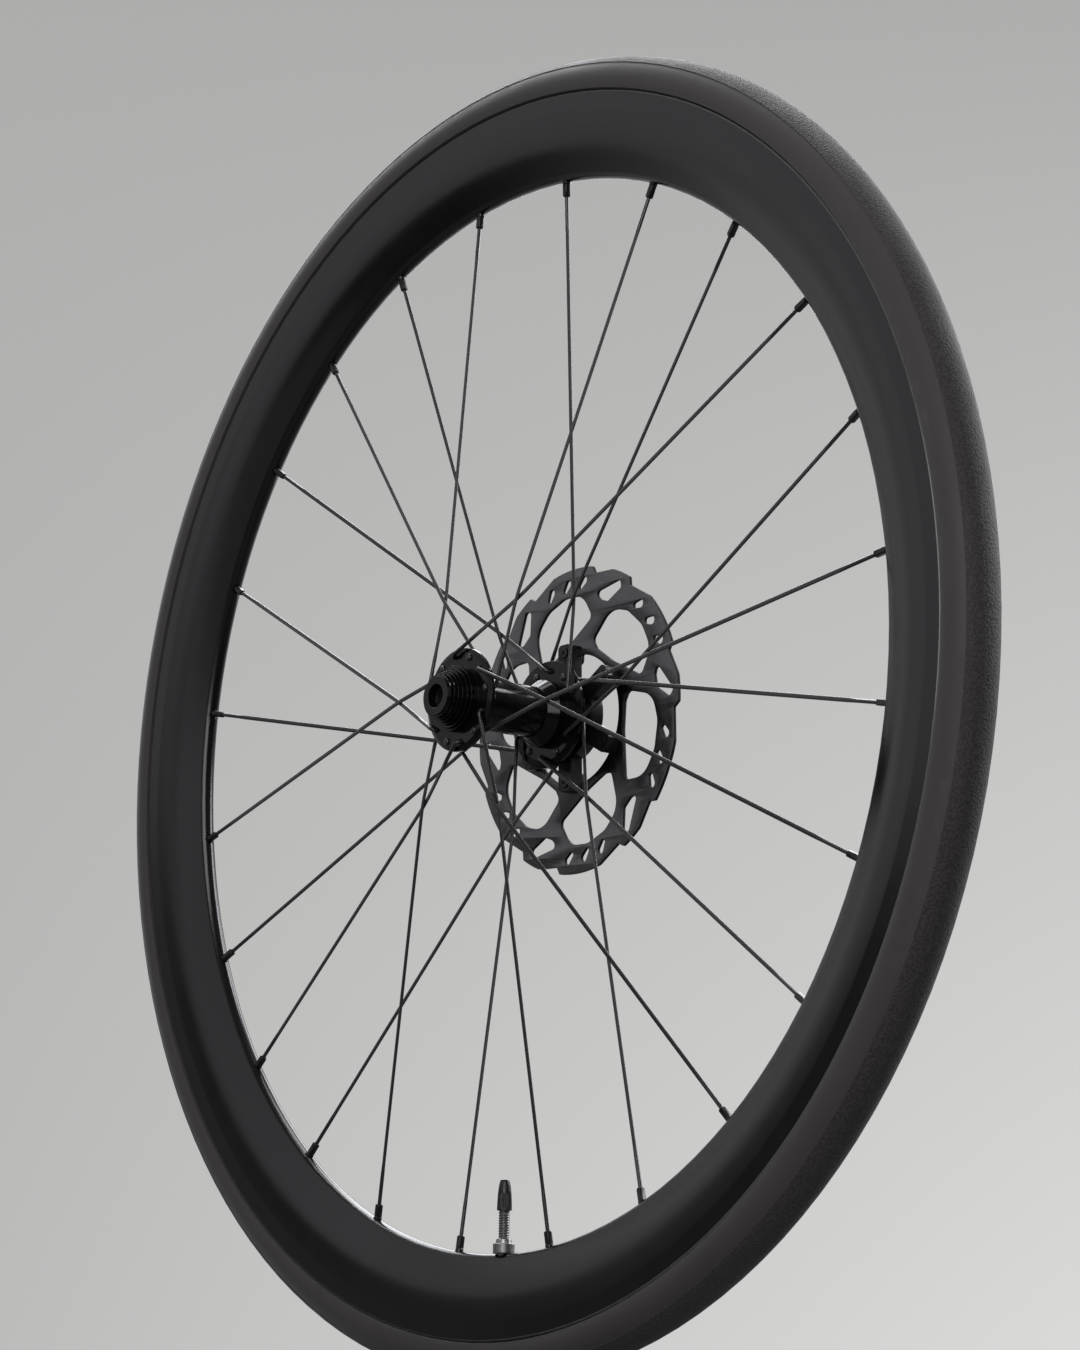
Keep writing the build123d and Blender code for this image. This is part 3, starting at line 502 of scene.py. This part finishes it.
class Shade:
    """A material with short calls for its nodes."""

    def __init__(self, name, **constants):
        self.material = bpy.data.materials.new(name)
        self.material.use_nodes = True
        self.tree = self.material.node_tree
        self.shader = self.tree.nodes["Principled BSDF"]
        for key, value in constants.items():
            self.shader.inputs[key.replace("_", " ")].default_value = value
        self.object = self.add("TexCoord").outputs["Object"]

    def add(self, kind, **settings):
        node = self.tree.nodes.new("ShaderNode" + kind)
        for key, value in settings.items():
            setattr(node, key, value)
        return node

    def put(self, socket, value):
        if isinstance(value, bpy.types.NodeSocket):
            self.tree.links.new(value, socket)
        else:
            socket.default_value = value

    def math(self, operation, *values):
        node = self.add("Math", operation=operation)
        for socket, value in zip(node.inputs, values):
            self.put(socket, value)
        return node.outputs[0]

    def ramp(self, value, low, high, out_low=0.0, out_high=1.0):
        node = self.add("MapRange", interpolation_type="SMOOTHSTEP")
        keys = ("Value", "From Min", "From Max", "To Min", "To Max")
        for key, part in zip(keys, (value, low, high, out_low, out_high)):
            self.put(node.inputs[key], part)
        return node.outputs[0]

    def mix(self, factor, first, second):
        node = self.add("Mix", data_type="RGBA")
        self.put(node.inputs["Factor"], factor)
        self.put(node.inputs[6], first)
        self.put(node.inputs[7], second)
        return node.outputs[2]

    def noise(self, scale, detail=2.0, roughness=0.5, vector=None):
        node = self.add("TexNoise")
        self.put(node.inputs["Vector"], vector or self.object)
        self.put(node.inputs["Scale"], scale)
        self.put(node.inputs["Detail"], detail)
        self.put(node.inputs["Roughness"], roughness)
        return node.outputs[0]

    def vector(self, x, y, z):
        node = self.add("CombineXYZ")
        for socket, value in zip(node.inputs, (x, y, z)):
            self.put(socket, value)
        return node.outputs[0]

    def about_axle(self):
        """Radius, place along the axle and angle, all from the part's own coordinates."""
        split = self.add("SeparateXYZ")
        self.put(split.inputs[0], self.object)
        x, y, z = split.outputs
        square = self.math("ADD", self.math("MULTIPLY", x, x), self.math("MULTIPLY", z, z))
        return self.math("SQRT", square), y, self.math("ARCTAN2", x, z)

    def weighted(self, first, first_share, second, second_share):
        """Sum of two values, each times its share."""
        parts = [self.math("MULTIPLY", *pair) for pair in ((first, first_share), (second, second_share))]
        return self.math("ADD", *parts)

    def colour(self, value):
        self.put(self.shader.inputs["Base Color"], value)

    def rough(self, value):
        self.put(self.shader.inputs["Roughness"], value)

    def bump(self, height, distance, strength=1.0, edge=0.0):
        """Bump from a height, over edges that are rounded by shading where a radius is given."""
        node = self.add("Bump")
        self.put(node.inputs["Height"], height)
        self.put(node.inputs["Distance"], distance)
        self.put(node.inputs["Strength"], strength)
        if edge:
            corner = self.add("Bevel", samples=6)
            corner.inputs["Radius"].default_value = edge
            self.tree.links.new(corner.outputs[0], node.inputs["Normal"])
        self.tree.links.new(node.outputs[0], self.shader.inputs["Normal"])


# Tyre's section in metres and degrees: the tube's centre, the tread's edge and the start of the bead's lines
TUBE_CENTRE = 0.32185
TREAD_EDGE = (50.6, 49.4)
BEAD_LINES = (104, 100)

# Radii in metres between which the rim's paint turns to a painted highlight along its lip and the rotor's
# face to its track
RIM_LIP_HIGHLIGHT = (0.31560, 0.31580)
BRAKE_TRACK = (0.0645, 0.0675)


def tyre_rubber():
    s = Shade("tyre_rubber", Sheen_Weight=0.2, Sheen_Roughness=0.4, Specular_IOR_Level=0.4)
    radius, y, _ = s.about_axle()
    out = s.math("SUBTRACT", radius, TUBE_CENTRE)
    tube = s.math("ARCTAN2", s.math("ABSOLUTE", y), out)
    tread = s.ramp(tube, radians(TREAD_EDGE[0]), radians(TREAD_EDGE[1]))
    pebbles = s.ramp(s.noise(820, 2, 0.5), 0.36, 0.64)
    cloth = s.noise(1500, 3, 0.6)
    cloud = s.noise(14, 4, 0.6)
    side = s.mix(cloud, (0.049, 0.0438, 0.0442, 1), (0.062, 0.0552, 0.0557, 1))
    crown = s.mix(pebbles, (0.031, 0.0272, 0.0277, 1), (0.052, 0.0458, 0.0465, 1))
    s.colour(s.mix(tread, side, crown))
    s.rough(s.math("ADD", s.ramp(cloud, 0.3, 0.7, 0.54, 0.66), s.math("MULTIPLY", tread, 0.06)))
    lines = s.math("SINE", s.math("MULTIPLY", tube, 260.0))
    near_bead = s.ramp(tube, radians(BEAD_LINES[0]), radians(BEAD_LINES[1]), 1.0, 0.0)
    flat = s.weighted(cloth, 0.22, s.math("MULTIPLY", lines, near_bead), 0.12)
    rough_part = s.weighted(pebbles, 0.75, cloth, 0.25)
    height = s.math("ADD", flat, s.math("MULTIPLY", tread, rough_part))
    s.bump(height, 0.00036, 0.62)
    return s.material


def rim_paint():
    s = Shade("rim_carbon", Specular_IOR_Level=0.5)
    radius, _, _ = s.about_axle()
    cloud = s.noise(9, 5, 0.62)
    ply = s.noise(55, 3, 0.6)
    shade = s.weighted(cloud, 0.5, ply, 0.5)
    paint = s.mix(shade, (0.0038, 0.0038, 0.0043, 1), (0.0060, 0.0060, 0.0068, 1))
    # Painted highlight: a thin light grey band along the rim's lip stands in for its lit edge
    lip_painted_highlight = s.ramp(radius, *RIM_LIP_HIGHLIGHT)
    s.colour(s.mix(lip_painted_highlight, paint, (0.13, 0.13, 0.132, 1)))
    s.rough(s.ramp(s.weighted(cloud, 0.7, ply, 0.3), 0.3, 0.7, 0.16, 0.23))
    grain = s.noise(1900, 2, 0.5)
    s.bump(s.weighted(grain, 0.25, ply, 0.12), 0.00012, 0.55, 0.0008)
    return s.material


def black_gloss(name, dark, light, rough_low, rough_high, edge, specular):
    s = Shade(name, Specular_IOR_Level=specular)
    radius, y, angle = s.about_axle()
    rings = s.vector(s.math("MULTIPLY", radius, 1500.0), s.math("MULTIPLY", y, 1500.0), angle)
    turned = s.noise(1.0, 2, 0.5, rings)
    wear = s.noise(120, 4, 0.6)
    s.colour(s.mix(wear, dark, light))
    s.rough(s.ramp(s.weighted(wear, 0.6, turned, 0.4), 0.3, 0.7, rough_low, rough_high))
    s.bump(s.math("MULTIPLY", turned, 0.3), 0.00006, 0.5, edge)
    return s.material


def rotor_steel():
    s = Shade("rotor_steel", Metallic=1.0, Anisotropic=0.7)
    turning = s.add("Tangent", direction_type="RADIAL", axis="Y")
    s.put(s.shader.inputs["Tangent"], turning.outputs[0])
    radius, y, angle = s.about_axle()
    rings = s.vector(s.math("MULTIPLY", radius, 3200.0), s.math("MULTIPLY", angle, 5.0), y)
    ground = s.noise(1.0, 3, 0.6, rings)
    rubbed = s.ramp(radius, *BRAKE_TRACK)
    cloud = s.noise(60, 3, 0.55)
    base = s.mix(cloud, (0.115, 0.115, 0.118, 1), (0.150, 0.150, 0.154, 1))
    polished = s.math("MULTIPLY", rubbed, s.ramp(ground, 0.35, 0.65))
    face = s.mix(polished, base, (0.185, 0.185, 0.188, 1))
    split = s.add("SeparateXYZ")
    s.put(split.inputs[0], s.add("TexCoord").outputs["Normal"])
    cut = s.ramp(s.math("ABSOLUTE", split.outputs["Y"]), 0.75, 0.45)
    s.colour(s.mix(cut, face, (0.030, 0.029, 0.028, 1)))
    s.rough(s.math("ADD", s.ramp(ground, 0.3, 0.7, 0.30, 0.40), s.math("MULTIPLY", cut, 0.25)))
    s.bump(ground, 0.00004, 0.5, 0.00025)
    return s.material


def turned_metal(name, dark, light, rough_low, rough_high, edge):
    s = Shade(name, Metallic=1.0)
    grain = s.noise(900, 3, 0.6)
    cloud = s.noise(160, 3, 0.55)
    s.colour(s.mix(cloud, dark, light))
    s.rough(s.ramp(grain, 0.3, 0.7, rough_low, rough_high))
    s.bump(grain, 0.00004, 0.5, edge)
    return s.material


def spoke_coat():
    s = Shade("spoke_black", Specular_IOR_Level=0.7)
    grain = s.noise(1500, 3, 0.6)
    cloud = s.noise(70, 3, 0.6)
    s.colour(s.mix(cloud, (0.015, 0.015, 0.016, 1), (0.024, 0.024, 0.025, 1)))
    s.rough(s.ramp(grain, 0.3, 0.7, 0.24, 0.36))
    s.bump(grain, 0.00005, 0.4)
    return s.material


def dull_black(name, dark, light, rough_low, rough_high):
    s = Shade(name)
    grain = s.noise(1300, 3, 0.6)
    cloud = s.noise(200, 3, 0.6)
    s.colour(s.mix(cloud, dark, light))
    s.rough(s.ramp(cloud, 0.3, 0.7, rough_low, rough_high))
    s.bump(grain, 0.00008, 0.6)
    return s.material


finish = {
    "tyre_rubber": tyre_rubber(),
    "rim_carbon": rim_paint(),
    "hub_black": black_gloss(
        "hub_black", (0.003, 0.003, 0.003, 1), (0.005, 0.005, 0.0054, 1), 0.09, 0.17, 0.0004, 0.25
    ),
    "black_alloy": black_gloss(
        "black_alloy", (0.006, 0.006, 0.007, 1), (0.011, 0.011, 0.012, 1), 0.20, 0.30, 0.0003, 0.35
    ),
    "rotor_steel": rotor_steel(),
    "alloy": turned_metal(
        "alloy", (0.25, 0.245, 0.24, 1), (0.34, 0.335, 0.33, 1), 0.34, 0.46, 0.0002
    ),
    "bearing_steel": turned_metal(
        "bearing_steel", (0.30, 0.30, 0.30, 1), (0.42, 0.42, 0.43, 1), 0.20, 0.32, 0.0002
    ),
    "spoke_black": spoke_coat(),
    "seal_rubber": dull_black(
        "seal_rubber", (0.010, 0.010, 0.010, 1), (0.020, 0.020, 0.020, 1), 0.5, 0.65
    ),
    "cap_plastic": dull_black(
        "cap_plastic", (0.005, 0.005, 0.006, 1), (0.010, 0.010, 0.011, 1), 0.30, 0.42
    ),
}
slot_of = {part["node"]: part["material_slot"] for part in frame["record"]["subparts"]}


for name, node in nodes.items():
    for holder in node.material_slots:
        holder.material = finish[slot_of[name]]


# Pieces that stand for solids of the frame


def add_piece(name, mesh, slot_name, *replaced):
    piece = make_object(name, *mesh)
    piece.data.materials.append(finish[slot_name])
    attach(piece, "wheel")
    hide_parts(*replaced)


routes = [Route(number) for number in range(SPOKES)]
for number, route in enumerate(routes):
    side = "disc" if number % 2 else "near"
    label = f"{side}_{number // 2 + 1:02d}"
    add_piece(f"bladed_spoke_{label}", spoke_mesh(route), "spoke_black", f"spoke_{label}")
add_piece("nipple_set", join([nipple_mesh(route) for route in routes]), "black_alloy", "spoke_nipples")
rotor_plate = filled_plate("rotor_plate", rotor_outlines(), ROTOR_HALF, ROTOR_BREAK, ROTOR_Y)
add_piece("vented_brake_rotor", rotor_plate, "rotor_steel", "brake_rotor")
add_piece("threaded_valve_stem", lathe(valve_stem_profile()[::-1], 64, threaded), "alloy", "valve_stem")
add_piece("chamfered_valve_nut", lathe(nut_profile()[::-1], 96), "alloy", "valve_lock_nut")
add_piece("ribbed_valve_cap", lathe(bullet(), 144, ribbed), "cap_plastic", "valve_cap")


# Stage: a pale floor that fades into the backdrop and is clear from below, where the camera is

FLOOR_DROP = 0.0002
FLOOR_RADIUS = 4.0
FLOOR_FADE = (0.6, 1.7)
BOUNCE_GREY = (0.10, 0.10, 0.10, 1)

floor_place = (0, 0, cad_box[0][2] - FLOOR_DROP)
bpy.ops.mesh.primitive_circle_add(
    vertices=96, radius=FLOOR_RADIUS, fill_type="NGON", location=floor_place
)
floor = bpy.context.object
floor.name = "floor"
paint = Shade("floor_paint", Specular_IOR_Level=0.2)
pale = paint.mix(paint.noise(3, 3, 0.5), (0.50, 0.50, 0.50, 1), (0.53, 0.53, 0.527, 1))
seen_directly = paint.add("LightPath").outputs["Is Camera Ray"]
paint.colour(paint.mix(seen_directly, BOUNCE_GREY, pale))
paint.rough(0.8)
clear = paint.add("BsdfTransparent")
from_below = paint.add("NewGeometry").outputs["Backfacing"]
distance = paint.add("VectorMath", operation="LENGTH")
paint.put(distance.inputs[0], paint.object)
faded = paint.ramp(distance.outputs["Value"], *FLOOR_FADE)
switch = paint.add("MixShader")
paint.put(switch.inputs[0], paint.math("MAXIMUM", from_below, faded))
paint.put(switch.inputs[1], paint.shader.outputs[0])
paint.put(switch.inputs[2], clear.outputs[0])
paint.put(paint.tree.nodes["Material Output"].inputs["Surface"], switch.outputs[0])
floor.data.materials.append(paint.material)


# Camera: the photograph's, fitted to rim, tyre, rotor and hub

AZIMUTH, ELEVATION, ROLL = 51.113, -11.603, 0.97
DISTANCE = 1.89985
OFFSET_RIGHT, OFFSET_UP = 0.013376, 0.017276
LENS = 99.874

az, el, roll = radians(AZIMUTH), radians(ELEVATION), radians(ROLL)
back = Vector((sin(az) * cos(el), -cos(az) * cos(el), sin(el)))
right = Vector((cos(az), sin(az), 0))
up = back.cross(right)
right, up = right * cos(roll) + up * sin(roll), up * cos(roll) - right * sin(roll)
eye = back * DISTANCE + right * OFFSET_RIGHT + up * OFFSET_UP
camera_data = bpy.data.cameras.new("camera")
camera_data.lens = LENS
camera_data.sensor_width = 36.0
camera_data.clip_start = 0.02
camera = bpy.data.objects.new("camera", camera_data)
camera.matrix_world = Matrix.Translation(eye) @ Matrix((right, up, back)).transposed().to_4x4()
bpy.context.collection.objects.link(camera)
bpy.context.scene.camera = camera


# Light: soft boxes overhead, at both sides behind and at the front right,
# and weak wide panels at the front left that the rim mirrors


def soft_box(name, place, aim, size, power, tint=(1, 1, 1)):
    data = bpy.data.lights.new(name, "AREA")
    data.shape = "RECTANGLE"
    data.size, data.size_y = size
    data.energy = power
    data.color = tint
    lamp = bpy.data.objects.new(name, data)
    lamp.location = place
    lamp.rotation_euler = (Vector(aim) - Vector(place)).to_track_quat("-Z", "Y").to_euler()
    lamp.visible_camera = False
    bpy.context.collection.objects.link(lamp)


COOL = (0.95, 0.97, 1.0)
PANEL_TINT = (0.945, 0.95, 1.0)

soft_box("overhead", (-0.5, 0.4, 2.3), (0, 0, 0), (1.6, 1.2), 26)
soft_box("right_back", (1.1, 2.3, 1.5), (0.2, 0, 0.1), (0.8, 2.0), 50, COOL)
soft_box("front", (1.6, -1.85, 0.7), (0, 0, 0), (1.6, 1.6), 28)
soft_box("left_panel", (-0.827, -1.757, 1.37), (0.503, -0.557, 1.37), (3.3, 2.3), 6.0, PANEL_TINT)
soft_box(
    "left_panel_core", (-0.576, -2.035, 1.37), (0.754, -0.835, 1.37), (2.55, 2.3), 4.6, PANEL_TINT
)
soft_box("front_low", (-0.3, -2.2, 0.0), (0, 0, 0), (2.0, 1.0), 1.4, PANEL_TINT)
soft_box("back_left", (-1.35, 0.5, 1.85), (0, 0, 0.3), (1.6, 1.0), 30, COOL)
soft_box("back_strip", (-0.9, 1.5, 1.05), (0, 0, 0), (2.6, 0.8), 26, COOL)


# World: a pale backdrop, which glossy faces mirror where they look away from the camera, and dim light

BACKDROP_GREY = 0.418
BACKDROP_RISE = 0.085
BACKDROP_RIGHT_RISE = 0.20
BACKDROP_TINT = (1.0, 1.0, 0.99)
AMBIENT_TINT = (0.96, 0.98, 1.0, 1)
AMBIENT_LOW, AMBIENT_HIGH = 0.03, 0.12

world = bpy.data.worlds.new("studio")
bpy.context.scene.world = world
world.use_nodes = True
tree = world.node_tree
tree.nodes.clear()


def world_node(kind, **settings):
    node = tree.nodes.new("ShaderNode" + kind)
    for key, value in settings.items():
        setattr(node, key, value)
    return node


def world_math(operation, first, second, clamp=False):
    node = world_node("Math", operation=operation, use_clamp=clamp)
    for socket, value in zip(node.inputs, (first, second)):
        if isinstance(value, bpy.types.NodeSocket):
            tree.links.new(value, socket)
        else:
            socket.default_value = value
    return node.outputs[0]


def along(axis, gain, middle=0.5):
    """How far a direction leans along an axis, from 0 to 1, with the value that a right angle has."""
    dot = world_node("VectorMath", operation="DOT_PRODUCT")
    tree.links.new(direction, dot.inputs[0])
    dot.inputs[1].default_value = axis
    return world_math("ADD", world_math("MULTIPLY", dot.outputs["Value"], gain), middle, True)


direction = world_node("TexCoord").outputs["Generated"]
lower = along(-up, 2.77)
rightward = along(right, 3.47)
most = world_math("ADD", world_math("MULTIPLY", rightward, BACKDROP_RIGHT_RISE), BACKDROP_RISE)
grey = world_math("ADD", world_math("MULTIPLY", lower, most), BACKDROP_GREY)
backdrop = world_node("Background")
tone = world_node("CombineColor")
for socket, gain in zip(tone.inputs, BACKDROP_TINT):
    tree.links.new(world_math("MULTIPLY", grey, gain), socket)
tree.links.new(tone.outputs[0], backdrop.inputs["Color"])
ambient = world_node("Background")
ambient.inputs["Color"].default_value = AMBIENT_TINT
height = world_node("MapRange", interpolation_type="SMOOTHSTEP")
level = world_node("SeparateXYZ")
tree.links.new(direction, level.inputs[0])
tree.links.new(level.outputs["Z"], height.inputs["Value"])
limits = {"From Min": 0.0, "From Max": 0.5, "To Min": AMBIENT_LOW, "To Max": AMBIENT_HIGH}
for key, value in limits.items():
    height.inputs[key].default_value = value
tree.links.new(height.outputs[0], ambient.inputs["Strength"])
rays = world_node("LightPath")
behind = along(Vector((-back.x, -back.y, 0)).normalized(), 1.6, -0.16)
seen = world_math("MAXIMUM", rays.outputs["Is Camera Ray"], rays.outputs["Is Transmission Ray"])
seen = world_math("MAXIMUM", seen, world_math("MULTIPLY", rays.outputs["Is Glossy Ray"], behind))
mixed = world_node("MixShader")
tree.links.new(seen, mixed.inputs[0])
tree.links.new(ambient.outputs[0], mixed.inputs[1])
tree.links.new(backdrop.outputs[0], mixed.inputs[2])
tree.links.new(mixed.outputs[0], world_node("OutputWorld").inputs["Surface"])

bpy.context.scene.view_settings.view_transform = "Standard"
